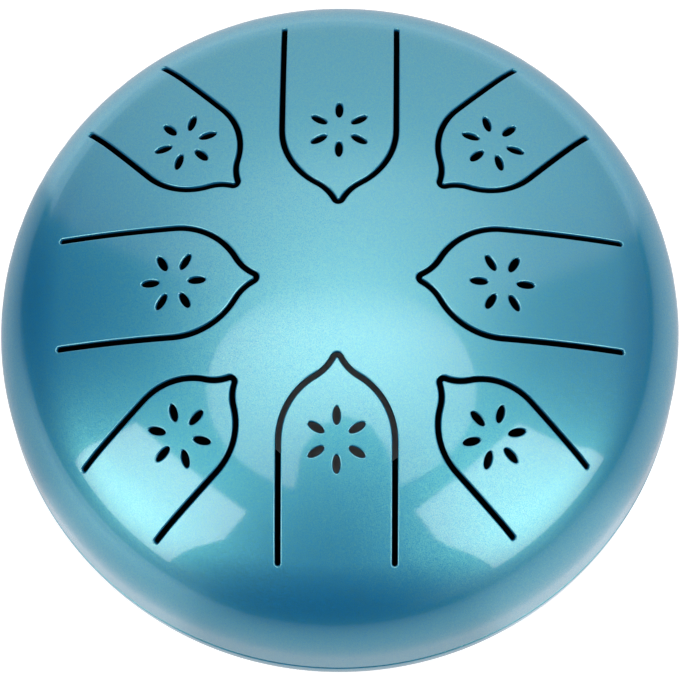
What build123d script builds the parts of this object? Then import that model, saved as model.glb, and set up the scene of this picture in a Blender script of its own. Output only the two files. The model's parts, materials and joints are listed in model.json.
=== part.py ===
"""A small eight-note steel tongue drum: two pressed steel shells, eight tongues, their magnets and three feet.

Millimetres, +Z up. The origin is on the floor, under the middle of the drum, and the front is towards -Y.
"""

import os
from dataclasses import dataclass
from math import acos, asin, cos, degrees, radians, sin, sqrt

from build123d import *

# The two shells are pressed from the same sheet, on the same dome and shoulder
drum_radius = 77.5
dome_radius = 154.0
shoulder_radius = 25.3
sheet = 1.4
skirt_height = 9.0

# The seam: the lower shell's lip goes up inside the skirt, and a bond fills the groove between them
seam_groove = 0.7
seam_recess = 0.35
lip_length = 6.0
lip_clearance = 0.15
joggle_angle = 10.0
rim_round = 0.3

# The base
sound_hole_radius = 22.0
ground_clearance = 3.0

# The push-in feet
foot_count = 3
foot_first_angle = 90.0
foot_circle_radius = 42.0
foot_base_radius = 8.0
foot_top_radius = 9.0
foot_edge_round = 1.2
foot_stem_radius = 3.0
foot_barb_radius = 4.4
foot_barb_height = 3.0
seat_clearance = 0.1

# The slots that free the tongues, and the line where each tongue bends
slot_width = 1.25
root_gap = 0.1

# Long tongues stand at the front, right, back and left, and short ones between them.
# As shares of the drum's radius: how far the tip and the root are from the axis, and the width between
# the slots' centre lines.
long_width_share = 0.3316
long_tip_share = 0.2323
long_root_share = 0.8
short_width_share = 0.2994
short_tip_share = 0.4168
short_root_share = 0.858

# Each tongue is tuned by how far its slots run out past the shortest one of its kind
tuning_front = 0.0
tuning_front_right = 0.0
tuning_right = 1.2
tuning_back_right = 1.3
tuning_back = 3.4
tuning_back_left = 2.4
tuning_left = 0.2
tuning_front_left = 1.2

# The petal at a tongue's end, as shares of the tongue's width
petal_length_share = 0.72
belly_radius_share = 0.62
hollow_radius_share = 0.40
tip_round = 1.0

# The rosette cut through each petal, and the magnet under its solid middle
rosette_petals = 6
rosette_radius = 5.2
rosette_petal_length = 4.0
rosette_petal_width = 1.7
magnet_radius = 3.0
magnet_thickness = 2.0
magnet_edge = 0.3
magnet_bond = 0.05

# How far every cut runs past what it cuts
overrun = 5.0

# Heights that follow from the sizes above
shoulder_centre_radius = drum_radius - shoulder_radius
junction_radius = dome_radius * shoulder_centre_radius / (dome_radius - shoulder_radius)
shoulder_drop = sqrt((dome_radius - shoulder_radius) ** 2 - shoulder_centre_radius**2)
dome_angle = degrees(acos(shoulder_drop / (dome_radius - shoulder_radius)))
hole_rise = dome_radius - sqrt(dome_radius**2 - sound_hole_radius**2)
lower_centre_z = ground_clearance - hole_rise + dome_radius
seam_z = lower_centre_z - shoulder_drop
rim_z = seam_z + seam_groove
upper_shoulder_z = rim_z + skirt_height
upper_centre_z = upper_shoulder_z - shoulder_drop
apex_z = upper_centre_z + dome_radius
lip_radius = drum_radius - sheet - lip_clearance
lip_top_z = rim_z + lip_length


@dataclass
class Tongue:
    """One tongue: its name, its direction round the drum and its sizes."""

    name: str
    azimuth: float
    width: float
    tip: float
    root: float

    @property
    def petal_length(self):
        """Length of the pointed end, from the straight sides to the tip."""
        return self.width * petal_length_share

    @property
    def neck(self):
        """Where the straight sides end and the petal begins."""
        return self.tip + self.petal_length

    @property
    def plane(self):
        """The flat plane, level with the rim, on which the tongue is drawn, with x running outwards."""
        return Plane.XY.offset(rim_z).rotated((0, 0, self.azimuth))

    def outline(self, grow, end):
        """Draw the closed outline, set out from the slot's centre line by grow and ending square at end."""
        half = self.width / 2
        belly_radius = self.width * belly_radius_share
        hollow_radius = self.width * hollow_radius_share
        belly = Vector(self.neck, half - belly_radius)
        point = Vector(self.tip + tip_round, 0)
        # The hollow's centre lies where circles about the two other centres cross, outside the petal
        axis = point - belly
        to_belly = belly_radius + hollow_radius
        to_point = hollow_radius + tip_round
        along = (axis.length**2 + to_belly**2 - to_point**2) / (2 * axis.length)
        aside = sqrt(to_belly**2 - along**2)
        unit = axis.normalized()
        hollow = belly + unit * along + Vector(-unit.Y, unit.X) * -aside
        side_start = Vector(end, half + grow)
        side_end = Vector(self.neck, half + grow)
        belly_end = belly + (hollow - belly).normalized() * (belly_radius + grow)
        hollow_end = point + (hollow - point).normalized() * (tip_round + grow)
        nose = Vector(self.tip - grow, 0)
        side = Line(side_start, side_end)
        swell = TangentArc(side @ 1, belly_end, tangent=side % 1)
        dip = TangentArc(swell @ 1, hollow_end, tangent=swell % 1)
        TangentArc(dip @ 1, nose, tangent=dip % 1)
        mirror(about=Plane.XZ)
        Line(side_start, Vector(end, -half - grow))


def shell_lines(centre_z, shoulder_z, inset, upward, shoulder_end=0.0):
    """Draw one face of a shell: the dome from the axis outwards, then the shoulder."""
    turn = 1 if upward else -1
    dome = CenterArc((0, centre_z), dome_radius - inset, 90 * turn, -dome_angle * turn)
    sweep = 90 - dome_angle - shoulder_end
    shoulder = CenterArc(
        (shoulder_centre_radius, shoulder_z), shoulder_radius - inset, (90 - dome_angle) * turn, -sweep * turn
    )
    return dome, shoulder


def long_tongue(name, azimuth, tuning):
    """A tongue of the long kind."""
    root = drum_radius * long_root_share + tuning
    return Tongue(name, azimuth, drum_radius * long_width_share, drum_radius * long_tip_share, root)


def short_tongue(name, azimuth, tuning):
    """A tongue of the short kind."""
    root = drum_radius * short_root_share + tuning
    return Tongue(name, azimuth, drum_radius * short_width_share, drum_radius * short_tip_share, root)


tongues = [
    long_tongue("front", -90, tuning_front),
    short_tongue("front_right", -45, tuning_front_right),
    long_tongue("right", 0, tuning_right),
    short_tongue("back_right", 45, tuning_back_right),
    long_tongue("back", 90, tuning_back),
    short_tongue("back_left", 135, tuning_back_left),
    long_tongue("left", 180, tuning_left),
    short_tongue("front_left", -135, tuning_front_left),
]

os.makedirs("parts", exist_ok=True)

# The upper shell's section, from the axis to the rim and back along the inside
with BuildSketch(Plane.XZ) as upper_section:
    with BuildLine():
        dome_out, shoulder_out = shell_lines(upper_centre_z, upper_shoulder_z, 0, True)
        dome_in, shoulder_in = shell_lines(upper_centre_z, upper_shoulder_z, sheet, True)
        Line(dome_out @ 0, dome_in @ 0)
        skirt_out = Line(shoulder_out @ 1, (drum_radius, rim_z))
        skirt_in = Line(shoulder_in @ 1, (drum_radius - sheet, rim_z))
        Line(skirt_out @ 1, skirt_in @ 1)
    make_face()

# The upper shell: each opening takes in the tongue and the slot round it, and ends in two round slot ends
with BuildPart() as upper_shell:
    revolve(upper_section.sketch, axis=Axis.Z)
    fillet(upper_shell.edges().group_by(Axis.Z)[0], radius=rim_round)
    for tongue in tongues:
        with BuildSketch(tongue.plane) as opening:
            with BuildLine():
                tongue.outline(slot_width / 2, tongue.root)
            make_face()
            with Locations((tongue.root, tongue.width / 2), (tongue.root, -tongue.width / 2)):
                Circle(slot_width / 2)
        extrude(amount=apex_z - rim_z + overrun, mode=Mode.SUBTRACT)
upper_shell.part.label = "upper_shell"
export_step(upper_shell.part, "parts/upper_shell.step")

# The tongues: the same sheet, freed by the slots, with a rosette cut through each petal
for tongue in tongues:
    with BuildPart() as tongue_blade:
        revolve(upper_section.sketch, axis=Axis.Z)
        with BuildSketch(tongue.plane) as blade:
            with BuildLine():
                tongue.outline(-slot_width / 2, tongue.root - root_gap)
            make_face()
            with Locations((tongue.neck, 0)):
                with PolarLocations(rosette_radius, rosette_petals):
                    Ellipse(rosette_petal_length / 2, rosette_petal_width / 2, mode=Mode.SUBTRACT)
        extrude(amount=apex_z - rim_z + overrun, mode=Mode.INTERSECT)
    tongue_blade.part.label = "tongue_" + tongue.name
    export_step(tongue_blade.part, "parts/tongue_" + tongue.name + ".step")

# The tuning magnets: flat discs whose rims sit on the inside of the sheet
for tongue in tongues:
    on_dome = tongue.neck + magnet_radius <= junction_radius
    bend_radius = dome_radius - sheet if on_dome else shoulder_radius - sheet
    bend_centre = Vector(0, upper_centre_z) if on_dome else Vector(shoulder_centre_radius, upper_shoulder_z)
    lean = asin((tongue.neck - bend_centre.X) / bend_radius)
    seat_distance = sqrt(bend_radius**2 - magnet_radius**2) - magnet_bond
    seat_radius = bend_centre.X + seat_distance * sin(lean)
    seat_z = bend_centre.Y + seat_distance * cos(lean)
    turn = radians(tongue.azimuth)
    outwards = Vector(sin(lean) * cos(turn), sin(lean) * sin(turn), cos(lean))
    seat = Plane((seat_radius * cos(turn), seat_radius * sin(turn), seat_z), z_dir=-outwards)
    with BuildPart() as tuning_magnet:
        with BuildSketch(seat):
            Circle(magnet_radius)
        extrude(amount=magnet_thickness)
        chamfer(tuning_magnet.edges().filter_by(GeomType.CIRCLE), length=magnet_edge)
    tuning_magnet.part.label = "tuning_magnet_" + tongue.name
    export_step(tuning_magnet.part, "parts/tuning_magnet_" + tongue.name + ".step")

# The lower shell's section: the bowl, the step of the seam and the joggled lip above it
with BuildSketch(Plane.XZ) as lower_section:
    with BuildLine():
        bowl_out, flank_out = shell_lines(lower_centre_z, seam_z, 0, False)
        bowl_in, flank_in = shell_lines(lower_centre_z, seam_z, sheet, False, joggle_angle)
        Line(bowl_out @ 0, bowl_in @ 0)
        step = Line(flank_out @ 1, (lip_radius, seam_z))
        lip_out = Line(step @ 1, (lip_radius, lip_top_z))
        lip_edge = Line(lip_out @ 1, (lip_radius - sheet, lip_top_z))
        lip_in = Line(lip_edge @ 1, (lip_radius - sheet, seam_z))
        Line(lip_in @ 1, flank_in @ 1)
    make_face()

# The lower shell, with its sound hole and its foot holes
with BuildPart() as lower_shell:
    revolve(lower_section.sketch, axis=Axis.Z)
    with BuildSketch():
        Circle(sound_hole_radius)
        with PolarLocations(foot_circle_radius, foot_count, foot_first_angle):
            Circle(foot_stem_radius + seat_clearance)
    extrude(amount=seam_z, mode=Mode.SUBTRACT)
lower_shell.part.label = "lower_shell"
export_step(lower_shell.part, "parts/lower_shell.step")

# The bond in the seam's groove, set back from the outside
with BuildPart() as seam_bond:
    with BuildSketch(Plane.XY.offset(seam_z)):
        Circle(drum_radius - seam_recess)
        Circle(lip_radius + lip_clearance, mode=Mode.SUBTRACT)
    extrude(amount=seam_groove)
seam_bond.part.label = "seam_bond"
export_step(seam_bond.part, "parts/seam_bond.step")

# The feet: a tapered rubber body shaped to the bowl, a stem through it and a barb that holds inside
foot_body_top = lower_centre_z - sqrt(dome_radius**2 - (foot_circle_radius + foot_top_radius) ** 2)
foot_seat_z = lower_centre_z - sqrt(dome_radius**2 - foot_circle_radius**2)
foot_barb_top = lower_centre_z - sqrt((dome_radius - sheet) ** 2 - foot_circle_radius**2) + foot_barb_height
foot_turn = radians(foot_first_angle)
foot_plane = Plane((foot_circle_radius * cos(foot_turn), foot_circle_radius * sin(foot_turn), 0))
with BuildPart() as barb:
    with BuildSketch(foot_plane):
        Circle(foot_barb_radius)
    extrude(amount=foot_barb_top)
    with Locations((0, 0, lower_centre_z)):
        Sphere(dome_radius - sheet - seat_clearance, mode=Mode.INTERSECT)
with BuildPart() as first_foot:
    with BuildSketch(foot_plane):
        Circle(foot_base_radius)
    with BuildSketch(foot_plane.offset(foot_body_top)):
        Circle(foot_top_radius)
    loft()
    with Locations((0, 0, lower_centre_z)):
        Sphere(dome_radius + seat_clearance, mode=Mode.SUBTRACT)
    with BuildSketch(foot_plane.offset(foot_seat_z / 2)):
        Circle(foot_stem_radius)
    extrude(amount=foot_barb_top - foot_seat_z / 2)
    add(barb.part)
    fillet(first_foot.edges().group_by(Axis.Z)[0], radius=foot_edge_round)
for number in range(1, foot_count + 1):
    with BuildPart() as foot:
        add(first_foot.part, rotation=(0, 0, (number - 1) * 360 / foot_count))
    foot.part.label = f"foot_{number}"
    export_step(foot.part, f"parts/foot_{number}.step")

print(f"drum {2 * drum_radius:.1f} mm across, {apex_z:.1f} mm high, seam at {seam_z:.2f}")
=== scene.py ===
"""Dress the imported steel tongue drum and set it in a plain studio.

Lengths are in millimetres, as on a maker's drawing, and MM turns them into the scene's metres.
A point on a flat drawing is a complex number. On a plan it is seen from above, with the drum's axis at zero,
and on a section its real part is the distance from an axis and its imaginary part is the height.
"""

import cmath
import json
import logging
import math
from collections.abc import Iterator
from contextlib import contextmanager
from dataclasses import dataclass, field
from enum import Enum

import bpy
import numpy as np
from mathutils import Matrix, Quaternion, Vector

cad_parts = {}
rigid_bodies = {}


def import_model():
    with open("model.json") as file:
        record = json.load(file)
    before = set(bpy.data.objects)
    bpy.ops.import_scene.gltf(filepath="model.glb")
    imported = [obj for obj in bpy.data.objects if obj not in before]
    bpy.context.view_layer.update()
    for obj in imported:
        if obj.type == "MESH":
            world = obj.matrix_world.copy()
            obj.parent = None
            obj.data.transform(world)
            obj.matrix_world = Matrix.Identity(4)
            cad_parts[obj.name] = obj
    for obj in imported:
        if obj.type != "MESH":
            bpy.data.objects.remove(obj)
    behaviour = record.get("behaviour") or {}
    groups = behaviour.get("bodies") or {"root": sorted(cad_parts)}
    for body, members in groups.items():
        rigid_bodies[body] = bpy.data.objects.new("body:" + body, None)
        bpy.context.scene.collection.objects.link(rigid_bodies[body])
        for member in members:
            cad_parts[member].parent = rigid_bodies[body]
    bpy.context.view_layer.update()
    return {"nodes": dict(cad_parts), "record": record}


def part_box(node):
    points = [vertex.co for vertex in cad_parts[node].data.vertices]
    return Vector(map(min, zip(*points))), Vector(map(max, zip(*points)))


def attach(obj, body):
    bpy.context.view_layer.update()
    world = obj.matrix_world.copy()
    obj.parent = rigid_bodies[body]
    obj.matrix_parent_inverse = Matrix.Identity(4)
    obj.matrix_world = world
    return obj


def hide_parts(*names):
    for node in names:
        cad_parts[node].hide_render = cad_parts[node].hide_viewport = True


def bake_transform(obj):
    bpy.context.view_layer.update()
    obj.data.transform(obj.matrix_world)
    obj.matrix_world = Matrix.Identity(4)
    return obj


MM = 0.001
# Points of a drawing that are closer than this, in millimetres, are one
TOUCH = 0.001
# The colour sockets of a Mix node, which share their names with those for numbers and vectors
MIX_FIRST, MIX_SECOND, MIX_RESULT = 6, 7, 2
DRUM_BODY = "drum_body"

Colour = tuple[float, float, float]
Place = tuple[float, float, float]
Span = tuple[float, float]
Outline = list[complex]

log = logging.getLogger("tongue_drum")


class Facing(Enum):
    """The way that a tongue points out from the axis, as an angle in degrees from +X."""

    FRONT = -90
    FRONT_RIGHT = -45
    RIGHT = 0
    BACK_RIGHT = 45
    BACK = 90
    BACK_LEFT = 135
    LEFT = 180
    FRONT_LEFT = -135

    @property
    def body(self) -> str:
        """Name of the tongue's body and node in the frame."""
        return f"tongue_{self.name.lower()}"

    @property
    def magnet(self) -> str:
        """Name of the node of the magnet under the tongue."""
        return f"tuning_magnet_{self.name.lower()}"

    @property
    def turn(self) -> complex:
        """The unit step outwards along the tongue."""
        return cmath.rect(1.0, math.radians(self.value))

    @property
    def way(self) -> Vector:
        """The same step in space."""
        return Vector((self.turn.real, self.turn.imag, 0))

    @property
    def is_long(self) -> bool:
        """Whether the tongue is one of the four long ones."""
        return self.value % 90 == 0


def take(*objects: bpy.types.Object) -> None:
    """Make these the only selected objects, the first of them active.

    Args:
        objects: One object or more.
    """
    bpy.ops.object.select_all(action="DESELECT")
    for obj in objects:
        obj.select_set(True)
    bpy.context.view_layer.objects.active = objects[0]


@contextmanager
def editing(obj: bpy.types.Object, select_mode: str = "EDGE") -> Iterator[None]:
    """Hold an object in edit mode with all of its mesh selected.

    Args:
        obj: The mesh object to edit.
        select_mode: What is picked, as VERT, EDGE or FACE.
    """
    take(obj)
    bpy.ops.object.mode_set(mode="EDIT")
    bpy.ops.mesh.select_mode(type=select_mode)
    bpy.ops.mesh.select_all(action="SELECT")
    yield
    bpy.ops.object.mode_set(mode="OBJECT")


def pick(obj: bpy.types.Object, select_mode: str, wanted: np.ndarray) -> None:
    """Select only the wanted edges or faces of an object that is in edit mode.

    Args:
        obj: The mesh object that is being edited.
        select_mode: What is picked, as EDGE or FACE.
        wanted: One true or false for each edge or face.
    """
    bpy.ops.mesh.select_mode(type=select_mode)
    bpy.ops.mesh.select_all(action="DESELECT")
    bpy.ops.object.mode_set(mode="OBJECT")
    items = obj.data.polygons if select_mode == "FACE" else obj.data.edges
    items.foreach_set("select", wanted)
    bpy.ops.object.mode_set(mode="EDIT")
    bpy.ops.mesh.select_mode(type="EDGE")


def picked_edges(obj: bpy.types.Object) -> tuple[np.ndarray, np.ndarray]:
    """Read the edges of an object that is in edit mode.

    Args:
        obj: The mesh object that is being edited.

    Returns:
        Whether each edge is selected, and the middle of each edge.
    """
    bpy.ops.object.mode_set(mode="OBJECT")
    count = len(obj.data.edges)
    selected, ends = np.empty(count, dtype=bool), np.empty(2 * count, dtype=np.int32)
    obj.data.edges.foreach_get("select", selected)
    obj.data.edges.foreach_get("vertices", ends)
    places = read_vectors(obj.data.vertices, "co")
    bpy.ops.object.mode_set(mode="EDIT")
    return selected, places[ends.reshape(-1, 2)].mean(axis=1)


def read_vectors(items: bpy.types.bpy_prop_collection, name: str) -> np.ndarray:
    """Read one vector of each item of a mesh.

    Args:
        items: The vertices, faces or attribute values.
        name: The vector's name on them.

    Returns:
        An array with a row for each item.
    """
    values = np.empty(len(items) * 3)
    items.foreach_get(name, values)
    return values.reshape(-1, 3)


def arc(centre: complex, radius: float, start: float, end: float, steps: int) -> Outline:
    """Points along an arc, both of its ends among them.

    Args:
        centre: The arc's centre.
        radius: Its radius.
        start: Angle of its first point, in radians.
        end: Angle of its last point.
        steps: How many chords it has.

    Returns:
        The points in order.
    """
    return [centre + cmath.rect(radius, start + (end - start) * i / steps) for i in range(steps + 1)]


def line(start: complex, end: complex, steps: int) -> Outline:
    """Points along a straight line, both of its ends among them."""
    return [start + (end - start) * i / steps for i in range(steps + 1)]


def joined(*runs: Outline) -> Outline:
    """Join runs of points, with each point that two runs share kept once.

    Args:
        runs: The runs, each of which starts about where the one before ends.

    Returns:
        All of the points in order.
    """
    points: Outline = []
    for point in (p for run in runs for p in run):
        if not points or abs(point - points[-1]) > TOUCH:
            points.append(point)
    return points


def draw(name: str, outlines: list[Outline], upright: bool = False) -> bpy.types.Object:
    """Draw closed outlines as one curve object.

    Args:
        name: The object's name.
        outlines: The closed outlines, in millimetres.
        upright: Whether they are a section in the XZ plane, and not a plan.

    Returns:
        The new curve object, flat and not yet filled.
    """
    curve = bpy.data.curves.new(name, "CURVE")
    curve.dimensions = "3D" if upright else "2D"
    for outline in outlines:
        spline = curve.splines.new("POLY")
        spline.points.add(len(outline) - 1)
        for point, place in zip(spline.points, outline):
            height = (0.0, place.imag) if upright else (place.imag, 0.0)
            point.co = (place.real, *height, 1.0)
        spline.use_cyclic_u = True
    obj = bpy.data.objects.new(name, curve)
    bpy.context.collection.objects.link(obj)
    return obj


def to_mesh(curve: bpy.types.Object) -> None:
    """Turn a curve object into a mesh object."""
    take(curve)
    bpy.ops.object.convert(target="MESH")


def spun(name: str, section: Outline, axis: complex, steps: int) -> bpy.types.Object:
    """Spin a closed section into a solid ring or a solid about an upright axis.

    Args:
        name: The new object's name.
        section: The closed section, in millimetres from the axis.
        axis: Where the axis stands on the plan.
        steps: How many faces go round.

    Returns:
        The mesh object, still in millimetres.
    """
    obj = draw(name, [section], upright=True)
    to_mesh(obj)
    with editing(obj, "VERT"):
        bpy.ops.mesh.spin(steps=steps, angle=math.tau, center=(0, 0, 0), axis=(0, 0, 1))
        bpy.ops.mesh.select_all(action="SELECT")
        bpy.ops.mesh.remove_doubles(threshold=TOUCH)
        bpy.ops.mesh.dissolve_degenerate(threshold=TOUCH)
        bpy.ops.mesh.normals_make_consistent(inside=False)
        bpy.ops.transform.translate(value=(axis.real, axis.imag, 0))
    return obj


def to_metres(obj: bpy.types.Object) -> None:
    """Bring a mesh that was modelled in millimetres to the scene's metres."""
    obj.data.transform(Matrix.Scale(MM, 4))


class Wire:
    """A value in a material's nodes, on which sums can be written."""

    def __init__(self, bench: "Bench", socket: bpy.types.NodeSocket | None) -> None:
        """Hold an output socket of one of the bench's nodes."""
        self.bench = bench
        self.socket = socket

    def other(self, output: str) -> "Wire":
        """Another output of the same node."""
        return Wire(self.bench, self.socket.node.outputs[output])

    def _sum(self, operation: str, first: "Wire | float", second: "Wire | float") -> "Wire":
        """Add the Math node for one operation on two values."""
        return self.bench.node("ShaderNodeMath", {"operation": operation}, {0: first, 1: second})

    def __add__(self, other: "Wire | float") -> "Wire":
        """Add a value."""
        return self._sum("ADD", self, other)

    __radd__ = __add__

    def __mul__(self, other: "Wire | float") -> "Wire":
        """Multiply by a value."""
        return self._sum("MULTIPLY", self, other)

    __rmul__ = __mul__

    def __sub__(self, other: "Wire | float") -> "Wire":
        """Take a value away."""
        return self._sum("SUBTRACT", self, other)

    def __rsub__(self, other: "Wire | float") -> "Wire":
        """Take this from a value."""
        return self._sum("SUBTRACT", other, self)

    def __abs__(self) -> "Wire":
        """The value without its sign."""
        return self.bench.node("ShaderNodeMath", {"operation": "ABSOLUTE"}, {0: self})


class Bench:
    """The node tree of one material or world while it is put together."""

    def __init__(self, tree: bpy.types.NodeTree) -> None:
        """Start from an empty tree."""
        self.tree = tree
        self.tree.nodes.clear()

    def node(self, kind: str, settings: dict | None = None, inputs: dict | None = None,
             output: str | int = 0) -> Wire:
        """Add a node.

        Args:
            kind: The node's type.
            settings: Its own settings, set before its sockets.
            inputs: Values or wires for its sockets, by name or number.
            output: The output that is wanted.

        Returns:
            The wanted output, with no socket where the node has none.
        """
        node = self.tree.nodes.new(kind)
        for name, value in (settings or {}).items():
            setattr(node, name, value)
        for name, value in (inputs or {}).items():
            if isinstance(value, Wire):
                self.tree.links.new(value.socket, node.inputs[name])
            elif isinstance(value, tuple) and node.inputs[name].type == "RGBA":
                node.inputs[name].default_value = (*value, 1.0)
            else:
                node.inputs[name].default_value = value
        return Wire(self, node.outputs[output] if node.outputs else None)

    def vector(self, operation: str, *values: "Wire | Place", output: str = "Vector") -> Wire:
        """Add the Vector Math node for one operation."""
        return self.node("ShaderNodeVectorMath", {"operation": operation}, dict(enumerate(values)), output)

    def split(self, vector: Wire) -> Wire:
        """The first part of a vector, with the others on the same node."""
        return self.node("ShaderNodeSeparateXYZ", inputs={"Vector": vector}, output="X")

    def place(self) -> Wire:
        """Where a point is on its object."""
        return self.node("ShaderNodeTexCoord", output="Object")

    def noise(self, grain: float, detail: float = 2.0) -> Wire:
        """Smooth noise from zero to one, with grains of about this size in millimetres."""
        sockets = {"Vector": self.place(), "Scale": 1.0 / (grain * MM), "Detail": detail}
        return self.node("ShaderNodeTexNoise", inputs=sockets)

    def between(self, value: Wire, low: float, high: float) -> Wire:
        """A smooth step of a value, from zero at low to one at high."""
        sockets = {"Value": value, "From Min": low, "From Max": high}
        return self.node("ShaderNodeMapRange", {"interpolation_type": "SMOOTHSTEP"}, sockets)

    def mix(self, share: Wire, first: "Wire | Colour", second: "Wire | Colour") -> Wire:
        """Mix two colours, all of the second where the share is one."""
        sockets = {"Factor": share, MIX_FIRST: first, MIX_SECOND: second}
        return self.node("ShaderNodeMix", {"data_type": "RGBA"}, sockets, MIX_RESULT)

    def bump(self, height: Wire, depth: float) -> Wire:
        """A normal for a height from zero to one over a depth in millimetres."""
        return self.node("ShaderNodeBump", inputs={"Height": height, "Distance": depth * MM}, output="Normal")

    def surface(self, inputs: dict) -> None:
        """Finish a material with the sockets of its main shader."""
        shader = self.node("ShaderNodeBsdfPrincipled", inputs=inputs)
        self.node("ShaderNodeOutputMaterial", inputs={"Surface": shader})


def new_bench(name: str) -> tuple[bpy.types.Material, Bench]:
    """Start a material.

    Args:
        name: The material's name.

    Returns:
        The material, and the bench for its nodes.
    """
    material = bpy.data.materials.new(name)
    material.use_nodes = True
    return material, Bench(material.node_tree)


@dataclass(frozen=True)
class FlakePaint:
    """Two-tone metallic paint under a clear coat, with dark primer, partly painted shade, on the inside of
    the sheet.
    """

    ground: Colour = (0.001, 0.268, 0.665)
    flake: Colour = (0.165, 0.57, 0.52)
    primer: Colour = (0.006, 0.007, 0.008)
    flake_size: float = 0.12
    flake_share: float = 0.60
    flake_spread: float = 0.5
    flake_tilt: float = 0.05
    ground_roughness: float = 0.50
    flake_roughness: float = 0.37
    coat_ior: float = 1.75
    coat_roughness: float = 0.06
    paint_edge_share: float = 0.30

    def material(self) -> bpy.types.Material:
        """Build the paint.

        Returns:
            The material, which reads each piece's own depth into the sheet, for the painted shade deeper in.
        """
        material, bench = new_bench("flake_paint")
        sockets = {"Vector": bench.place(), "Scale": 1.0 / (self.flake_size * MM)}
        cells = bench.node("ShaderNodeTexVoronoi", inputs=sockets, output="Color")
        chance = bench.node("ShaderNodeSeparateColor", inputs={"Color": cells}, output="Red")
        flakes = self.flake_share + self.flake_spread * (chance - 0.5)
        depth = bench.node("ShaderNodeAttribute", {"attribute_name": "depth"}, output="Fac")
        # Painted shade: past the paint's edge, on the slot walls and the inside, the coat goes and the dark
        # primer colour keeps the slots black
        bare_and_shaded = bench.between(depth, self.paint_edge_share, 2.0 * self.paint_edge_share)
        lean = bench.vector("MULTIPLY_ADD", cells, (2.0 * self.flake_tilt,) * 3, (-self.flake_tilt,) * 3)
        level = bench.node("ShaderNodeNewGeometry", output="Normal")
        normal = bench.vector("NORMALIZE", bench.vector("ADD", level, lean))
        coat = {"Coat Weight": 1.0 - bare_and_shaded, "Coat Roughness": self.coat_roughness, "Coat IOR": self.coat_ior}
        deep = bench.node("ShaderNodeBsdfPrincipled", inputs=coat | {
            "Base Color": bench.mix(bare_and_shaded, self.ground, self.primer),
            "Roughness": self.ground_roughness,
            "Specular IOR Level": 0.0,
        })
        bright = bench.node("ShaderNodeBsdfPrincipled", inputs=coat | {
            "Base Color": self.flake,
            "Metallic": 1.0,
            "Roughness": self.flake_roughness,
            "Normal": normal,
        })
        paint = bench.node("ShaderNodeMixShader", inputs={"Fac": flakes * (1.0 - bare_and_shaded), 1: deep, 2: bright})
        bench.node("ShaderNodeOutputMaterial", inputs={"Surface": paint})
        return material


@dataclass(frozen=True)
class Rubber:
    """Moulded black rubber with a fine dusty grain."""

    dark: Colour = (0.012, 0.012, 0.013)
    dusty: Colour = (0.035, 0.035, 0.037)
    grain: float = 0.25
    grain_depth: float = 0.03
    cloud: float = 5.0
    cloud_span: Span = (0.35, 0.75)
    roughness: float = 0.62
    roughness_rise: float = 0.2

    def material(self) -> bpy.types.Material:
        """Build the rubber.

        Returns:
            The material.
        """
        material, bench = new_bench("foot_rubber")
        grain = bench.noise(self.grain)
        cloud = bench.between(bench.noise(self.cloud), *self.cloud_span)
        bench.surface({
            "Base Color": bench.mix(cloud * grain, self.dark, self.dusty),
            "Roughness": self.roughness + self.roughness_rise * cloud,
            "Normal": bench.bump(grain, self.grain_depth),
        })
        return material


@dataclass(frozen=True)
class NickelPlate:
    """Bright nickel plating on a magnet, with faint tumbling marks."""

    bright: Colour = (0.74, 0.71, 0.66)
    dull: Colour = (0.60, 0.58, 0.54)
    mark: float = 0.6
    mark_detail: float = 4.0
    mark_span: Span = (0.3, 0.7)
    roughness: float = 0.16
    roughness_rise: float = 0.14

    def material(self) -> bpy.types.Material:
        """Build the plating.

        Returns:
            The material.
        """
        material, bench = new_bench("nickel_plate")
        marks = bench.between(bench.noise(self.mark, self.mark_detail), *self.mark_span)
        bench.surface({
            "Base Color": bench.mix(marks, self.bright, self.dull),
            "Metallic": 1.0,
            "Roughness": self.roughness + self.roughness_rise * marks,
        })
        return material


@dataclass(frozen=True)
class SeamCompound:
    """The dark sealing compound in the groove between the shells."""

    dark: Colour = (0.008, 0.022, 0.032)
    pale: Colour = (0.02, 0.05, 0.07)
    ripple: float = 1.5
    ripple_depth: float = 0.05
    roughness: float = 0.5
    roughness_rise: float = 0.25

    def material(self) -> bpy.types.Material:
        """Build the compound.

        Returns:
            The material.
        """
        material, bench = new_bench("seam_compound")
        ripple = bench.noise(self.ripple)
        bench.surface({
            "Base Color": bench.mix(ripple, self.dark, self.pale),
            "Roughness": self.roughness + self.roughness_rise * ripple,
            "Normal": bench.bump(ripple, self.ripple_depth),
        })
        return material


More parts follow.
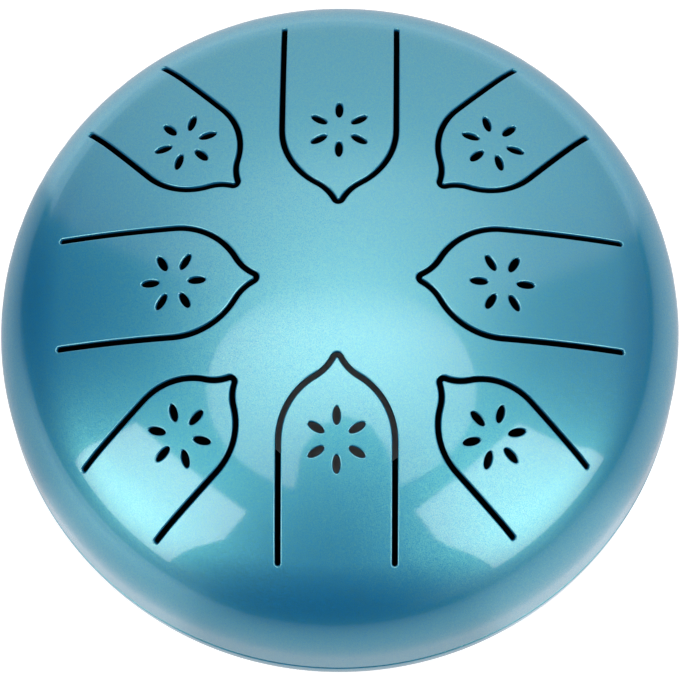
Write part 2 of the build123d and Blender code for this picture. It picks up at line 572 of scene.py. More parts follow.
@dataclass(frozen=True)
class Pressing:
    """The curve that both shells are pressed to: a dome, a shoulder and, on the upper one, a skirt."""

    drum_radius: float
    apex_z: float
    rim_z: float
    seam_z: float
    dome_radius: float = 154.0
    shoulder_radius: float = 25.3
    sheet: float = 1.4

    @classmethod
    def from_frame(cls) -> "Pressing":
        """Read the places from the CAD nodes.

        Returns:
            The curve, with its places in millimetres.
        """
        lowest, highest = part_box("upper_shell")
        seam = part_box("seam_bond")[0]
        return cls(highest.x / MM, highest.z / MM, lowest.z / MM, seam.z / MM)

    @property
    def shoulder_centre(self) -> float:
        """Distance of the shoulder's centre from the axis."""
        return self.drum_radius - self.shoulder_radius

    @property
    def lean(self) -> float:
        """How far the sheet leans where the dome meets the shoulder, in radians."""
        return math.asin(self.shoulder_centre / (self.dome_radius - self.shoulder_radius))

    @property
    def shoulder_drop(self) -> float:
        """Height between the centres of the dome and the shoulder."""
        return (self.dome_radius - self.shoulder_radius) * math.cos(self.lean)

    @property
    def shoulder_z(self) -> float:
        """Height of the upper shoulder's centre."""
        return self.apex_z - self.dome_radius + self.shoulder_drop

    @property
    def dome_length(self) -> float:
        """Length along the dome, from the axis to the shoulder."""
        return self.dome_radius * self.lean

    @property
    def shoulder_length(self) -> float:
        """Length along the shoulder."""
        return self.shoulder_radius * (math.pi / 2 - self.lean)

    @property
    def length(self) -> float:
        """Length from the axis over the outside to the rim."""
        return self.dome_length + self.shoulder_length + self.shoulder_z - self.rim_z

    def unrolled(self, point: complex) -> complex:
        """Where a point of the plan lies on the flat blank.

        Args:
            point: A point on the dome or the shoulder, seen from above.

        Returns:
            The point in the same direction, as far from the axis as it is along the sheet.
        """
        radius = abs(point)
        if radius <= self.dome_radius * math.sin(self.lean):
            reach = self.dome_radius * math.asin(radius / self.dome_radius)
        else:
            lean = math.asin((radius - self.shoulder_centre) / self.shoulder_radius)
            reach = self.dome_length + self.shoulder_radius * (lean - self.lean)
        return cmath.rect(reach, cmath.phase(point))

    def outside(self, reach: np.ndarray) -> tuple[np.ndarray, np.ndarray, np.ndarray]:
        """Follow the outside of the sheet from the axis.

        Args:
            reach: Lengths along the sheet.

        Returns:
            The distance from the axis, the height and the lean at each of them.
        """
        on_dome = reach < self.dome_length
        bend = self.lean + (reach - self.dome_length) / self.shoulder_radius
        lean = np.where(on_dome, reach / self.dome_radius, np.minimum(bend, math.pi / 2))
        radius = np.where(on_dome, self.dome_radius, self.shoulder_radius)
        centre = np.where(on_dome, 0.0, self.shoulder_centre)
        base = np.where(on_dome, self.apex_z - self.dome_radius, self.shoulder_z)
        skirt = np.maximum(reach - self.dome_length - self.shoulder_length, 0.0)
        return centre + radius * np.sin(lean), base + radius * np.cos(lean) - skirt, lean

    def bowl_z(self, radius: np.ndarray) -> np.ndarray:
        """Height of the outside of the lower shell's bowl, at distances from the axis."""
        return self.seam_z + self.shoulder_drop - np.sqrt(self.dome_radius**2 - radius**2)


@dataclass(frozen=True)
class TonguePlan:
    """One tongue seen from above, pointing along +X, with the slot that frees it."""

    facing: Facing
    root: float
    width: float
    tip: float
    slot_width: float = 1.25
    petal_length_share: float = 0.72
    belly_radius_share: float = 0.62
    hollow_radius_share: float = 0.40
    tip_round: float = 1.0
    rosette_petals: int = 6
    rosette_radius: float = 5.2
    rosette_petal_length: float = 4.0
    rosette_petal_width: float = 1.7
    side_steps: int = 16
    arc_steps: int = 14
    round_steps: int = 8
    petal_steps: int = 28

    @property
    def neck(self) -> float:
        """Where the straight sides end and the petal begins."""
        return self.tip + self.width * self.petal_length_share

    @property
    def slot_end(self) -> complex:
        """Centre of the round end of the slot on the left of the tongue."""
        return complex(self.root, self.width / 2)

    def edge(self, grow: float) -> Outline:
        """Draw the line round the tongue, from its root on the left to its root on the right.

        Args:
            grow: How far the line stands out from the middle of the slot.

        Returns:
            The points in order.
        """
        belly_radius = self.width * self.belly_radius_share
        hollow_radius = self.width * self.hollow_radius_share
        belly = complex(self.neck, self.width / 2 - belly_radius)
        nose = complex(self.tip + self.tip_round, 0)
        # The hollow touches the belly and the nose, so its centre is the third corner of a triangle
        axis = nose - belly
        to_belly = belly_radius + hollow_radius
        to_nose = hollow_radius + self.tip_round
        along = (abs(axis) ** 2 + to_belly**2 - to_nose**2) / (2 * abs(axis))
        aside = math.sqrt(to_belly**2 - along**2)
        hollow = belly + axis / abs(axis) * complex(along, -aside)
        leave = cmath.phase(hollow - belly)
        turn = cmath.phase(nose - hollow)
        side = complex(0, self.width / 2 + grow)
        left = joined(
            line(self.root + side, self.neck + side, self.side_steps),
            arc(belly, belly_radius + grow, math.pi / 2, leave, self.arc_steps),
            arc(hollow, hollow_radius - grow, leave - math.pi, turn, self.arc_steps),
            arc(nose, self.tip_round + grow, turn + math.pi, math.pi, self.round_steps),
        )
        return joined(left, [point.conjugate() for point in reversed(left)])

    def slot(self) -> Outline:
        """Draw the closed outline of the slot, with its two round ends.

        Returns:
            The points in order.
        """
        half = self.slot_width / 2
        right_end = arc(self.slot_end.conjugate(), half, -math.pi / 2, math.pi / 2, self.round_steps)
        left_end = arc(self.slot_end, half, -math.pi / 2, math.pi / 2, self.round_steps)
        return joined(self.edge(half), right_end, self.edge(-half)[::-1], left_end)[:-1]

    def rosette(self) -> list[Outline]:
        """Draw the ring of small petals that is cut through the tongue's end.

        Returns:
            A closed outline for each petal.
        """
        swing = [math.tau * i / self.petal_steps for i in range(self.petal_steps)]
        half_length, half_width = self.rosette_petal_length / 2, self.rosette_petal_width / 2
        petal = [complex(half_length * math.cos(a), half_width * math.sin(a)) for a in swing]
        turns = [cmath.rect(1.0, math.tau * i / self.rosette_petals) for i in range(self.rosette_petals)]
        return [[self.neck + turn * (self.rosette_radius + point) for point in petal] for turn in turns]


@dataclass
class UpperShell:
    """The upper shell and its tongues: one blank, slotted while it is flat and then pressed."""

    pressing: Pressing
    joints: list[dict]
    paint: bpy.types.Material
    long_width: float = 25.7
    long_tip: float = 18.0
    short_width: float = 23.2
    short_tip: float = 32.3
    edge_round: float = 0.32
    edge_steps: int = 2
    grid: float = 3.0
    flat_angle: float = 0.5
    rim_steps: int = 512
    bend_share: float = 0.55
    tongues: list[TonguePlan] = field(default_factory=list)

    def plan(self) -> None:
        """Lay out the eight tongues, with their roots where the frame's joints are."""
        places = {joint["child"]: joint["pos_m"] for joint in self.joints}
        for facing in Facing:
            root = math.hypot(*places[facing.body][:2]) / MM
            width, tip = self.short_width, self.short_tip
            if facing.is_long:
                width, tip = self.long_width, self.long_tip
            self.tongues.append(TonguePlan(facing, root, width, tip))

    def blank(self) -> bpy.types.Object:
        """Cut the flat blank, with rounded edges round every slot.

        Returns:
            The blank as a mesh in millimetres, half of its thickness on each side of the floor.
        """
        outlines = [arc(0j, self.pressing.length, 0, math.tau, self.rim_steps)[:-1]]
        for tongue in self.tongues:
            for cut in (tongue.slot(), *tongue.rosette()):
                outlines.append([self.pressing.unrolled(point * tongue.facing.turn) for point in cut])
        blank = draw("upper_shell_skin", outlines)
        blank.data.fill_mode = "BOTH"
        blank.data.extrude = self.pressing.sheet / 2 - self.edge_round
        blank.data.bevel_depth = self.edge_round
        blank.data.bevel_resolution = self.edge_steps
        blank.data.offset = -self.edge_round
        to_mesh(blank)
        return blank

    def rule(self, blank: bpy.types.Object) -> None:
        """Divide the blank along a square grid, fine enough to be pressed without flats.

        Args:
            blank: The flat blank.
        """
        count = math.ceil(self.pressing.length / self.grid)
        with editing(blank):
            bpy.ops.mesh.remove_doubles(threshold=TOUCH)
            for normal in (Vector((1, 0, 0)), Vector((0, 1, 0))):
                for step in range(-count, count):
                    bpy.ops.mesh.select_all(action="SELECT")
                    place = normal * (step + 0.5) * self.grid
                    bpy.ops.mesh.bisect(plane_co=place, plane_no=normal, threshold=TOUCH)
                    bpy.ops.mesh.mark_seam()
                bpy.ops.mesh.select_all(action="SELECT")
                bpy.ops.mesh.dissolve_limited(angle_limit=math.radians(self.flat_angle), delimit={"SEAM"})
            bpy.ops.mesh.select_all(action="SELECT")
            bpy.ops.mesh.mark_seam(clear=True)
            bpy.ops.mesh.normals_make_consistent(inside=False)

    def note_edges(self, blank: bpy.types.Object) -> None:
        """Keep each point's depth into the sheet and its true normal, from the rounded edges.

        Args:
            blank: The ruled blank, to which both are added as attributes.
        """
        mesh = blank.data
        half = self.pressing.sheet / 2
        heights = read_vectors(mesh.vertices, "co")[:, 2]
        normals = read_vectors(mesh.vertices, "normal")
        rise = np.clip((np.abs(heights) - half + self.edge_round) / self.edge_round, 0.0, 1.0)
        aside = np.hypot(normals[:, 0], normals[:, 1])
        normals[:, :2] *= (np.sqrt(1.0 - rise**2) / np.maximum(aside, TOUCH))[:, None]
        normals[:, 2] = np.sign(heights) * rise
        # The paint reads this depth to paint shade on the slot walls and the inside
        depth = mesh.attributes.new("depth", "FLOAT", "POINT")
        depth.data.foreach_set("value", (half - heights) / self.pressing.sheet)
        flat_normal = mesh.attributes.new("flat_normal", "FLOAT_VECTOR", "POINT")
        flat_normal.data.foreach_set("vector", normals.ravel())

    def part(self, blank: bpy.types.Object) -> list[bpy.types.Object]:
        """Part the tongues from the shell along their roots.

        Args:
            blank: The ruled blank.

        Returns:
            The shell and the tongues as closed objects of their own, still flat.
        """
        with editing(blank):
            for tongue in self.tongues:
                corner = self.pressing.unrolled(tongue.slot_end)
                bpy.ops.object.mode_set(mode="OBJECT")
                centres = read_vectors(blank.data.polygons, "center")
                bpy.ops.object.mode_set(mode="EDIT")
                flat = (centres[:, 0] + 1j * centres[:, 1]) / tongue.facing.turn
                near = np.abs(flat.real - corner.real) < 2 * self.grid
                pick(blank, "FACE", near & (np.abs(flat.imag) < corner.imag + self.grid))
                way = tongue.facing.way
                bpy.ops.mesh.bisect(plane_co=way * corner.real, plane_no=way, threshold=TOUCH)
                cut, middles = picked_edges(blank)
                flat = (middles[:, 0] + 1j * middles[:, 1]) / tongue.facing.turn
                pick(blank, "EDGE", cut & (np.abs(flat.imag) < corner.imag))
                bpy.ops.mesh.edge_split(type="EDGE")
            bpy.ops.mesh.select_all(action="SELECT")
            bpy.ops.mesh.separate(type="LOOSE")
        pieces = list(bpy.context.selected_objects)
        for piece in pieces:
            with editing(piece):
                bpy.ops.mesh.select_all(action="DESELECT")
                bpy.ops.mesh.select_non_manifold(
                    extend=False, use_wire=False, use_multi_face=False,
                    use_non_contiguous=False, use_verts=False,
                )
                bpy.ops.mesh.fill_holes(sides=0)
        return pieces

    def press(self, piece: bpy.types.Object) -> None:
        """Press a flat piece to the drum's curve, and bring it to metres.

        Args:
            piece: The shell or a tongue.
        """
        mesh = piece.data
        flat = read_vectors(mesh.vertices, "co")
        normals = read_vectors(mesh.attributes["flat_normal"].data, "vector")
        azimuth = np.arctan2(flat[:, 1], flat[:, 0])
        east, north = np.cos(azimuth), np.sin(azimuth)
        radius, height, lean = self.pressing.outside(np.hypot(flat[:, 0], flat[:, 1]))
        sine, cosine = np.sin(lean), np.cos(lean)
        below = self.pressing.sheet / 2 - flat[:, 2]
        radius, height = radius - below * sine, height - below * cosine
        places = np.stack([radius * east, radius * north, height], axis=1) * MM
        along = normals[:, 0] * east + normals[:, 1] * north
        across = normals[:, 1] * east - normals[:, 0] * north
        outward = along * cosine + normals[:, 2] * sine
        upward = normals[:, 2] * cosine - along * sine
        turned = np.stack([outward * east - across * north, outward * north + across * east, upward], axis=1)
        mesh.vertices.foreach_set("co", places.ravel())
        mesh.attributes.remove(mesh.attributes["flat_normal"])
        mesh.update()
        take(piece)
        bpy.ops.object.shade_smooth()
        mesh.normals_split_custom_set_from_vertices(turned)

    def build(self) -> list[bpy.types.Object]:
        """Make the shell and the tongues, and hang the shell on the drum's body.

        Returns:
            The pieces, the shell last.
        """
        self.plan()
        blank = self.blank()
        self.rule(blank)
        self.note_edges(blank)
        pieces = self.part(blank)
        shell = max(pieces, key=lambda piece: len(piece.data.vertices))
        pieces.remove(shell)
        centres = {piece: read_vectors(piece.data.vertices, "co").mean(axis=0) for piece in pieces}
        for tongue in self.tongues:
            way = tongue.facing.way.normalized()
            blade = max(pieces, key=lambda piece: way.dot(Vector(centres[piece]).normalized()))
            self.dress(blade, f"{tongue.facing.body}_blade", tongue.facing.body)
            root, tip = (way * place * MM for place in (tongue.root, tongue.tip))
            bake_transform(blade)
        self.dress(shell, "upper_shell_skin", "upper_shell")
        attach(shell, DRUM_BODY)
        return [*pieces, shell]

    def dress(self, piece: bpy.types.Object, name: str, node: str) -> None:
        """Press a piece, name it, paint it and let it stand for its CAD node.

        Args:
            piece: The flat piece.
            name: Its name from now on.
            node: The CAD node that it stands for.
        """
        self.press(piece)
        piece.name = piece.data.name = name
        piece.data.materials.clear()
        piece.data.materials.append(self.paint)
        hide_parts(node)


@dataclass
class LowerShell:
    """The lower shell: a bowl with a sound hole, foot holes and a lip that goes up inside the skirt."""

    pressing: Pressing
    feet: list[complex]
    paint: bpy.types.Material
    hole_radius: float = 22.0
    hole_round: float = 0.5
    seam_round: float = 0.35
    lip_radius: float = 75.95
    lip_top: float = 44.48
    lip_round: float = 0.3
    joggle: float = 10.0
    foot_hole_radius: float = 3.1
    foot_hole_steps: int = 48
    smooth_angle: float = 40.0
    around: int = 288
    bowl_steps: int = 22
    shoulder_steps: int = 20
    round_steps: int = 4

    def section(self) -> Outline:
        """Draw the closed section, over the outside from the sound hole and back along the inside.

        Returns:
            The points in order.
        """
        press = self.pressing
        bowl_centre = complex(0, press.seam_z + press.shoulder_drop)
        shoulder_centre = complex(press.shoulder_centre, press.seam_z)
        down = -math.pi / 2
        hole = down + math.asin((self.hole_radius + self.hole_round) / press.dome_radius)
        corner = press.drum_radius - self.seam_round + 1j * (press.seam_z - self.seam_round)
        edge = -self.seam_round / press.shoulder_radius
        inner_lip = self.lip_radius - press.sheet
        top = 1j * (self.lip_top - self.lip_round)
        hole_edge = bowl_centre + cmath.rect(press.dome_radius - self.hole_round, hole)
        inner_edge = bowl_centre + cmath.rect(press.dome_radius - press.sheet + self.hole_round, hole)
        to_axis = hole - math.pi / 2
        return joined(
            arc(hole_edge, self.hole_round, to_axis, hole, self.round_steps),
            arc(bowl_centre, press.dome_radius, hole, down + press.lean, self.bowl_steps),
            arc(shoulder_centre, press.shoulder_radius, down + press.lean, edge, self.shoulder_steps),
            arc(corner, self.seam_round, 0, math.pi / 2, self.round_steps),
            [self.lip_radius + 1j * press.seam_z],
            arc(self.lip_radius - self.lip_round + top, self.lip_round, 0, math.pi / 2, self.round_steps),
            arc(inner_lip + self.lip_round + top, self.lip_round, math.pi / 2, math.pi, self.round_steps),
            [inner_lip + 1j * press.seam_z],
            arc(shoulder_centre, press.shoulder_radius - press.sheet, -math.radians(self.joggle),
                down + press.lean, self.shoulder_steps),
            arc(bowl_centre, press.dome_radius - press.sheet, down + press.lean, hole, self.bowl_steps),
            arc(inner_edge, self.hole_round, hole - math.pi, to_axis, self.round_steps),
        )

    def note_depth(self, shell: bpy.types.Object) -> None:
        """Keep each point's depth into the sheet, with all of the lip counted as inside, where the paint
        turns to painted shade.

        Args:
            shell: The spun and drilled shell, to which it is added as an attribute.
        """
        press = self.pressing
        places = read_vectors(shell.data.vertices, "co")
        radius, height = np.hypot(places[:, 0], places[:, 1]), places[:, 2]
        bowl = press.dome_radius - np.hypot(radius, height - press.seam_z - press.shoulder_drop)
        shoulder = press.shoulder_radius - np.hypot(radius - press.shoulder_centre, height - press.seam_z)
        in_bowl = radius < press.dome_radius * math.sin(press.lean)
        depth = np.where(in_bowl, bowl, shoulder) / press.sheet
        # The whole lip takes the dark primer colour, painted shade under the skirt
        depth[(radius < self.lip_radius + TOUCH) & (height > press.seam_z - TOUCH)] = 1.0
        attribute = shell.data.attributes.new("depth", "FLOAT", "POINT")
        attribute.data.foreach_set("value", np.clip(depth, 0.0, 1.0))

    def build(self) -> bpy.types.Object:
        """Spin the shell, drill the foot holes, and paint it.

        Returns:
            The finished shell.
        """
        shell = spun("lower_shell_skin", self.section(), 0j, self.around)
        for place in self.feet:
            bpy.ops.mesh.primitive_cylinder_add(
                vertices=self.foot_hole_steps, radius=self.foot_hole_radius, depth=self.pressing.seam_z,
                location=(place.real, place.imag, 0),
            )
            drill = bpy.context.object
            take(shell)
            bpy.ops.object.modifier_add(type="BOOLEAN")
            hole = shell.modifiers[-1]
            hole.operation = "DIFFERENCE"
            hole.solver = "EXACT"
            hole.object = drill
            bpy.ops.object.modifier_apply(modifier=hole.name)
            bpy.data.objects.remove(drill)
        self.note_depth(shell)
        to_metres(shell)
        take(shell)
        bpy.ops.object.shade_smooth_by_angle(angle=math.radians(self.smooth_angle))
        shell.data.materials.append(self.paint)
        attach(shell, DRUM_BODY)
        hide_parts("lower_shell")
        return shell


@dataclass
class Foot:
    """A push-in rubber foot: a ridged sole, a tapered body laid to the bowl, a stem and a barb."""

    node: str
    pressing: Pressing
    rubber: bpy.types.Material
    base_radius: float = 8.0
    top_radius: float = 9.0
    edge_round: float = 1.2
    top_round: float = 0.5
    ridge_pitch: float = 1.6
    ridge_depth: float = 0.3
    ridges: int = 4
    ridge_start: float = 0.4
    stem_radius: float = 3.0
    barb_radius: float = 4.4
    barb_height: float = 3.0
    barb_edge_share: float = 0.25
    tip_radius: float = 2.2
    smooth_angle: float = 35.0
    around: int = 96
    round_steps: int = 5
    flank_steps: int = 8
    seat_steps: int = 4

    @property
    def place(self) -> complex:
        """Where the foot stands on the plan, in millimetres."""
        lowest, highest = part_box(self.node)
        return complex(*((lowest + highest) / 2 / MM).xy)

    def section(self, seat: float) -> Outline:
        """Draw half of the foot's closed section.

        Args:
            seat: Height at which the body meets the bowl.

        Returns:
            The points from the middle of the sole, over the outside, to the top of the barb.
        """
        sole = [1j * self.ridge_depth]
        for ridge in range(self.ridges):
            start = self.ridge_pitch * (ridge + self.ridge_start)
            sole += [start + 1j * self.ridge_depth, start + self.ridge_depth + 0j]
            sole += [start + self.ridge_pitch / 2 + 0j, start + self.ridge_pitch / 2 + 1j * self.ridge_depth]
        sole = [point for point in sole if point.real < self.base_radius - self.edge_round]
        edge = self.base_radius - self.edge_round + 1j * self.edge_round
        shoulder = self.top_radius - self.top_round
        lip_z = seat - self.top_round
        inside = seat + self.pressing.sheet
        barb_edge = inside + self.barb_height * self.barb_edge_share
        top = inside + self.barb_height
        return joined(
            sole,
            arc(edge, self.edge_round, -math.pi / 2, 0, self.round_steps),
            line(self.base_radius + 1j * self.edge_round, self.top_radius + 1j * lip_z, self.flank_steps),
            arc(shoulder + 1j * lip_z, self.top_round, 0, math.pi / 2, self.round_steps),
            line(shoulder + 1j * seat, self.stem_radius + 1j * seat, self.seat_steps),
            [self.stem_radius + 1j * inside, self.barb_radius + 1j * inside],
            [self.barb_radius + 1j * barb_edge, self.tip_radius + 1j * top, 1j * top],
        )

    def build(self) -> bpy.types.Object:
        """Spin the foot, lay it to the bowl and dress it.

        Returns:
            The finished foot.
        """
        seat = float(self.pressing.bowl_z(np.array(abs(self.place))))
        foot = spun(f"{self.node}_rubber", self.section(seat), self.place, self.around)
        places = read_vectors(foot.data.vertices, "co")
        share = np.clip((places[:, 2] - self.edge_round) / (seat - self.edge_round), 0.0, 1.0)
        places[:, 2] += share * (self.pressing.bowl_z(np.hypot(places[:, 0], places[:, 1])) - seat)
        foot.data.vertices.foreach_set("co", places.ravel())
        to_metres(foot)
        foot.data.update()
        take(foot)
        bpy.ops.object.shade_smooth_by_angle(angle=math.radians(self.smooth_angle))
        foot.data.materials.append(self.rubber)
        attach(foot, DRUM_BODY)
        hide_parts(self.node)
        return foot


class LampShape(Enum):
    """The outline of a lamp, with the share of its width times its height that shines."""

    RECTANGLE = 1.0
    ELLIPSE = math.pi / 4


@dataclass(frozen=True)
class Softbox:
    """A flat lamp that faces a point, or straight down without one, with its sizes in metres.

    It is turned about its own axis by a twist in degrees, and dims towards its own upper edge, from one share
    of its height to another.
    """

    name: str
    place: Place
    width: float
    height: float
    radiance: float
    shape: LampShape = LampShape.RECTANGLE
    aim: Place | None = None
    twist: float = 0.0
    fade: float = 1.0
    fade_end: float = 1.05

    def soften(self, lamp: bpy.types.AreaLight) -> None:
        """Dim the lamp towards its own upper edge.

        Args:
            lamp: The lamp's data.
        """
        lamp.use_nodes = True
        bench = Bench(lamp.node_tree)
        spot = bench.node("ShaderNodeNewGeometry", output="Parametric")
        lit = 1.0 - bench.between(bench.split(spot).other("Y"), self.fade, self.fade_end)
        glow = bench.node("ShaderNodeEmission", inputs={"Strength": lit})
        bench.node("ShaderNodeOutputLight", inputs={"Surface": glow})

    def build(self) -> bpy.types.Object:
        """Hang the lamp, unseen by the camera.

        Returns:
            The lamp.
        """
        bpy.ops.object.light_add(type="AREA", location=self.place)
        lamp = bpy.context.object
        lamp.name = self.name
        lamp.data.shape = self.shape.name
        lamp.data.size = self.width
        lamp.data.size_y = self.height
        lamp.data.energy = math.pi * self.radiance * self.shape.value * self.width * self.height
        if self.aim:
            facing = (Vector(self.aim) - Vector(self.place)).to_track_quat("-Z", "Y")
            twist = Quaternion((0, 0, 1), math.radians(self.twist))
            lamp.rotation_euler = (facing @ twist).to_euler()
        if self.fade < 1.0:
            self.soften(lamp.data)
        lamp.visible_camera = False
        return lamp


@dataclass(frozen=True)
class Glow:
    """A round patch of light in the surroundings.

    Its reach is the cosine of the angle between its middle and its edge.
    """

    way: Place
    reach: float
    strength: float

    def light(self, bench: Bench, way: Wire) -> Wire:
        """Work out the light of the patch.

        Args:
            bench: The bench of the surroundings.
            way: The direction that is looked in.

        Returns:
            The patch's light there, which grows as a square from its edge.
        """
        near = bench.vector("DOT_PRODUCT", way, self.way, output="Value")
        lit = bench.node("ShaderNodeMapRange", inputs={"Value": near, "From Min": self.reach})
        return self.strength * lit * lit


@dataclass
class Studio:
    """The floor, the lamps, the surroundings and the camera."""

    target: Place = (0.0, 0.0, 0.03977)
    azimuth: float = 2.46
    elevation: float = 71.143
    roll: float = -2.134
    distance: float = 0.930
    lens: float = 213.33
    floor_half: float = 8.0
    floor_colour: Colour = (0.55, 0.55, 0.55)
    floor_glow: float = 0.80
    floor_white_reach: Span = (0.2, 1.0)
    floor_shadow: Span = (0.050, 0.062)
    mirrored_glow: float = 0.61
    mirrored_pace: float = 2.45
    mirrored_lean: float = 0.82
    mirrored_reach: Span = (0.15, 1.0)
    mirrored_edge: Span = (0.96, 1.06)
    mirrored_end: float = 0.25
    mirrored_back: float = 0.80
    mirrored_colour: Colour = (0.95, 1.03, 1.12)
    spill_place: Place = (-0.37, -0.20, 0.0)
    spill_reach: Span = (0.12, 0.30)
    spill_glow: float = 0.6
    pool_way: complex = 0.755 - 0.656j
    pool_reach: Span = (0.92, 0.985)
    pool_glow: float = 0.24
    dark: float = 0.005
    back_wall: float = 0.66
    back_wall_drop: float = 0.25
    back_wall_width: Span = (0.3, 0.8)
    back_wall_edge: Span = (0.545, 0.839)
    back_wall_shift: float = 0.05
    back_wall_soft: Span = (-0.02, 0.05)
    back_wall_top: Span = (0.75, 0.92)
    right_wall: float = 0.06
    right_wall_reach: Span = (0.2, 0.8)
    ceiling: Glow = Glow((0.0, 0.3, 0.954), 0.80, 1.42)
    upper_right: Glow = Glow((0.694, 0.324, 0.643), 0.5, 0.14)
    low_right: Glow = Glow((0.69, -0.715, 0.12), 0.86, 0.28)
    low_left: Glow = Glow((-0.755, -0.656, 0.1), 0.92, 0.32)
    # Both softboxes hang upside down, so that they dim towards the floor
    lamps: tuple[Softbox, ...] = (
        Softbox(
            "left_softbox", (-0.740, -0.416, 0.661), 0.622, 0.975, 2.94,
            aim=(-0.005, 0.740, 0.160), twist=173.3, fade=0.55, fade_end=1.75,
        ),
        Softbox(
            "right_softbox", (0.658, -0.415, 0.738), 0.618, 1.072, 2.70,
            aim=(0.004, 0.430, 0.490), twist=184.4, fade=0.55, fade_end=1.75,
        ),
        Softbox("overhead", (0.0, -0.04, 1.10), 0.96, 0.76, 1.56, LampShape.ELLIPSE, fade=0.7),
        Softbox("strip", (0.124, -0.438, 1.10), 0.123, 0.043, 1.8),
    )
    flag_height: float = 1.0
    flag_colour: Colour = (0.01, 0.01, 0.01)
    flag_roughness: float = 0.9
    flag: tuple[complex, ...] = (
        0.013 - 0.126j, 0.090 - 0.153j, 0.147 - 0.231j, 0.184 - 0.328j, 0.20 - 0.45j,
        -0.18 - 0.45j, -0.143 - 0.330j, -0.122 - 0.232j, -0.064 - 0.153j,
    )

    def behind(self, bench: Bench, right: Wire) -> Wire:
        """Mark the lit wall behind, which has upright edges.

        Args:
            bench: The bench of the floor or of the surroundings.
            right: The first part of a direction, with the others on its node.

        Returns:
            One towards the wall, and zero beside it.
        """
        across, along = self.back_wall_edge
        aside = abs(right - self.back_wall_shift)
        return bench.between(along * right.other("Y") - across * aside, *self.back_wall_soft)

    def reflection(self, bench: Bench, away: Wire) -> Wire:
        """Work out the painted light that the drum mirrors from the floor.

        Args:
            bench: The floor's bench.
            away: The distance from the drum's axis.

        Returns:
            The painted light of a table top that ends, and past its end of the wall behind, with a painted
            spill of light on the left and a painted pool of light under each softbox.
        """
        right = bench.split(bench.vector("NORMALIZE", bench.place()))
        spread = away * (self.mirrored_pace - self.mirrored_lean * right)
        start, end = self.mirrored_reach
        fall = bench.node("ShaderNodeMapRange", inputs={
            "Value": spread, "From Min": start, "From Max": end, "To Min": 1.0, "To Max": self.mirrored_end,
        })
        table = self.mirrored_glow * fall * (1.0 - bench.between(spread, *self.mirrored_edge))
        wall = self.mirrored_back * self.behind(bench, right) * bench.between(spread, start, end)
        from_spill = bench.vector("DISTANCE", bench.place(), self.spill_place, output="Value")
        spill = self.spill_glow * (1.0 - bench.between(from_spill, *self.spill_reach))
        beside = self.pool_way.real * abs(right) + self.pool_way.imag * right.other("Y")
        return table + wall + spill + self.pool_glow * bench.between(beside, *self.pool_reach)

    def floor(self) -> bpy.types.Object:
        """Lay the pale floor, which shines for the camera, shows painted light to reflections and keeps a
        shadow, with a painted shadow under the drum.

        Returns:
            The floor.
        """
        bpy.ops.mesh.primitive_plane_add(size=2 * self.floor_half)
        floor = bpy.context.object
        floor.name = "floor"
        material, bench = new_bench("pale_floor")
        away = bench.vector("LENGTH", bench.place(), output="Value")
        # Painted shadow: the floor's glow is taken away under the drum, for the camera and in what the drum
        # mirrors
        outside = bench.between(away, *self.floor_shadow)
        path = bench.node("ShaderNodeLightPath", output="Is Camera Ray")
        white = self.floor_glow + (1.0 - self.floor_glow) * bench.between(away, *self.floor_white_reach)
        seen = white * outside * (path + path.other("Is Transmission Ray"))
        diffuse = bench.node("ShaderNodeBsdfDiffuse", inputs={"Color": self.floor_colour})
        glow = bench.node("ShaderNodeEmission", inputs={"Strength": seen})
        direct = bench.node("ShaderNodeAddShader", inputs={0: diffuse, 1: glow})
        # Glossy rays see only this painted light, in place of the floor's lit colour
        shine = {"Color": self.mirrored_colour, "Strength": outside * self.reflection(bench, away)}
        mirrored = bench.node("ShaderNodeEmission", inputs=shine)
        sockets = {"Fac": path.other("Is Glossy Ray"), 1: direct, 2: mirrored}
        both = bench.node("ShaderNodeMixShader", inputs=sockets)
        bench.node("ShaderNodeOutputMaterial", inputs={"Surface": both})
        floor.data.materials.append(material)
        return floor

    def surroundings(self) -> None:
        """Make a dark room with a lit wall behind and patches of light, and white to the camera."""
        world = bpy.data.worlds.new("studio")
        world.use_nodes = True
        bpy.context.scene.world = world
        bench = Bench(world.node_tree)
        way = bench.node("ShaderNodeTexCoord", output="Generated")
        right = bench.split(way)
        level = self.back_wall - self.back_wall_drop * bench.between(abs(right), *self.back_wall_width)
        below_top = 1.0 - bench.between(right.other("Z"), *self.back_wall_top)
        wall = level * below_top * self.behind(bench, right)
        right_wall = self.right_wall * bench.between(right, *self.right_wall_reach)
        light = self.dark + wall + right_wall
        for glow in (self.ceiling, self.upper_right, self.low_right, self.low_left):
            light = light + glow.light(bench, way)
        seen = bench.node("ShaderNodeLightPath", output="Is Camera Ray")
        sockets = {"Color": (1.0, 1.0, 1.0), "Strength": seen + (1.0 - seen) * light}
        backdrop = bench.node("ShaderNodeBackground", inputs=sockets)
        bench.node("ShaderNodeOutputWorld", inputs={"Surface": backdrop})

    def shade(self) -> bpy.types.Object:
        """Hang a dark flag under the overhead lamp, where a camera on its stand is.

        Returns:
            The flag, unseen by the camera.
        """
        flag = draw("lamp_flag", [[point / MM for point in self.flag]])
        flag.data.fill_mode = "BOTH"
        to_mesh(flag)
        to_metres(flag)
        flag.data.transform(Matrix.Translation((0, 0, self.flag_height)))
        material, bench = new_bench("black_cloth")
        bench.surface({"Base Color": self.flag_colour, "Roughness": self.flag_roughness})
        flag.data.materials.append(material)
        flag.visible_camera = False
        return flag

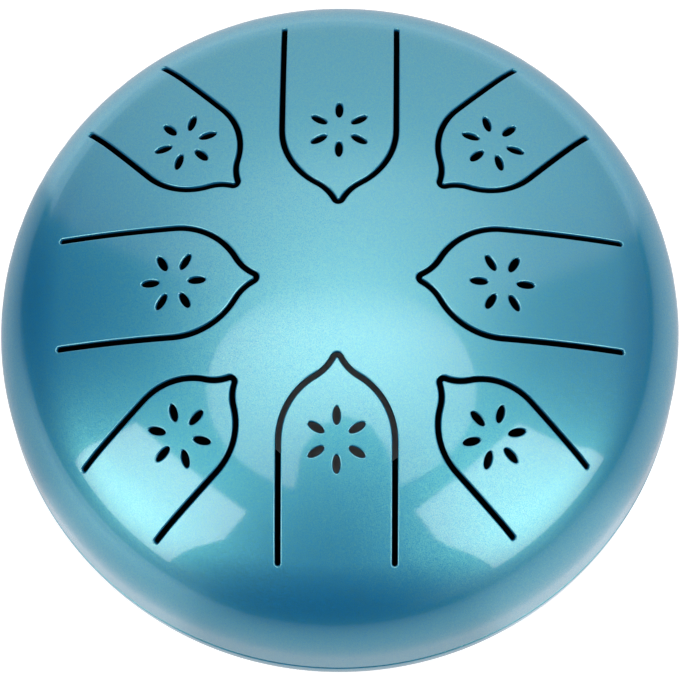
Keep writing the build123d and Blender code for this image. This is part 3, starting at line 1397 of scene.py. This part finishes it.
    def camera(self) -> bpy.types.Object:
        """Set the camera where the photograph was taken from.

        Returns:
            The camera.
        """
        turn, rise, roll = (math.radians(angle) for angle in (self.azimuth, self.elevation, self.roll))
        back = Vector((math.sin(turn) * math.cos(rise), -math.cos(turn) * math.cos(rise), math.sin(rise)))
        level = Vector((math.cos(turn), math.sin(turn), 0))
        above = back.cross(level)
        right = level * math.cos(roll) + above * math.sin(roll)
        up = back.cross(right)
        bpy.ops.object.camera_add(location=Vector(self.target) + back * self.distance)
        camera = bpy.context.object
        camera.rotation_euler = Matrix((right, up, back)).transposed().to_euler()
        camera.data.lens = self.lens
        bpy.context.scene.camera = camera
        return camera

    def build(self) -> None:
        """Set up the whole studio."""
        self.floor()
        self.surroundings()
        self.shade()
        for lamp in self.lamps:
            lamp.build()
        self.camera()
        bpy.context.scene.view_settings.view_transform = "Standard"


def dress_nodes(frame: dict) -> None:
    """Give the CAD nodes that stay in sight their own finishes.

    Args:
        frame: The loaded frame.
    """
    finishes = {facing.magnet: NickelPlate for facing in Facing} | {"seam_bond": SeamCompound}
    materials = {finish: finish().material() for finish in set(finishes.values())}
    for name, finish in finishes.items():
        node = frame["nodes"][name]
        for slot in node.material_slots:
            slot.material = materials[finish]
        log.info("%s: kept from the frame, with a new finish", name)


def main() -> None:
    """Load the frame, and build each sub-assembly and the studio."""
    logging.basicConfig(level=logging.INFO, format="%(name)s: %(message)s")
    bpy.ops.object.select_all(action="SELECT")
    bpy.ops.object.delete()
    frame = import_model()
    bpy.ops.object.select_all(action="DESELECT")
    pressing = Pressing.from_frame()
    paint = FlakePaint().material()
    rubber = Rubber().material()
    feet = [Foot(f"foot_{number}", pressing, rubber) for number in (1, 2, 3)]
    pieces = UpperShell(pressing, frame["record"]["behaviour"]["joints"], paint).build()
    pieces.append(LowerShell(pressing, [foot.place for foot in feet], paint).build())
    pieces.extend(foot.build() for foot in feet)
    for piece in pieces:
        log.info("%s: %d vertices", piece.name, len(piece.data.vertices))
    dress_nodes(frame)
    Studio().build()


if __name__ == "__main__":
    main()
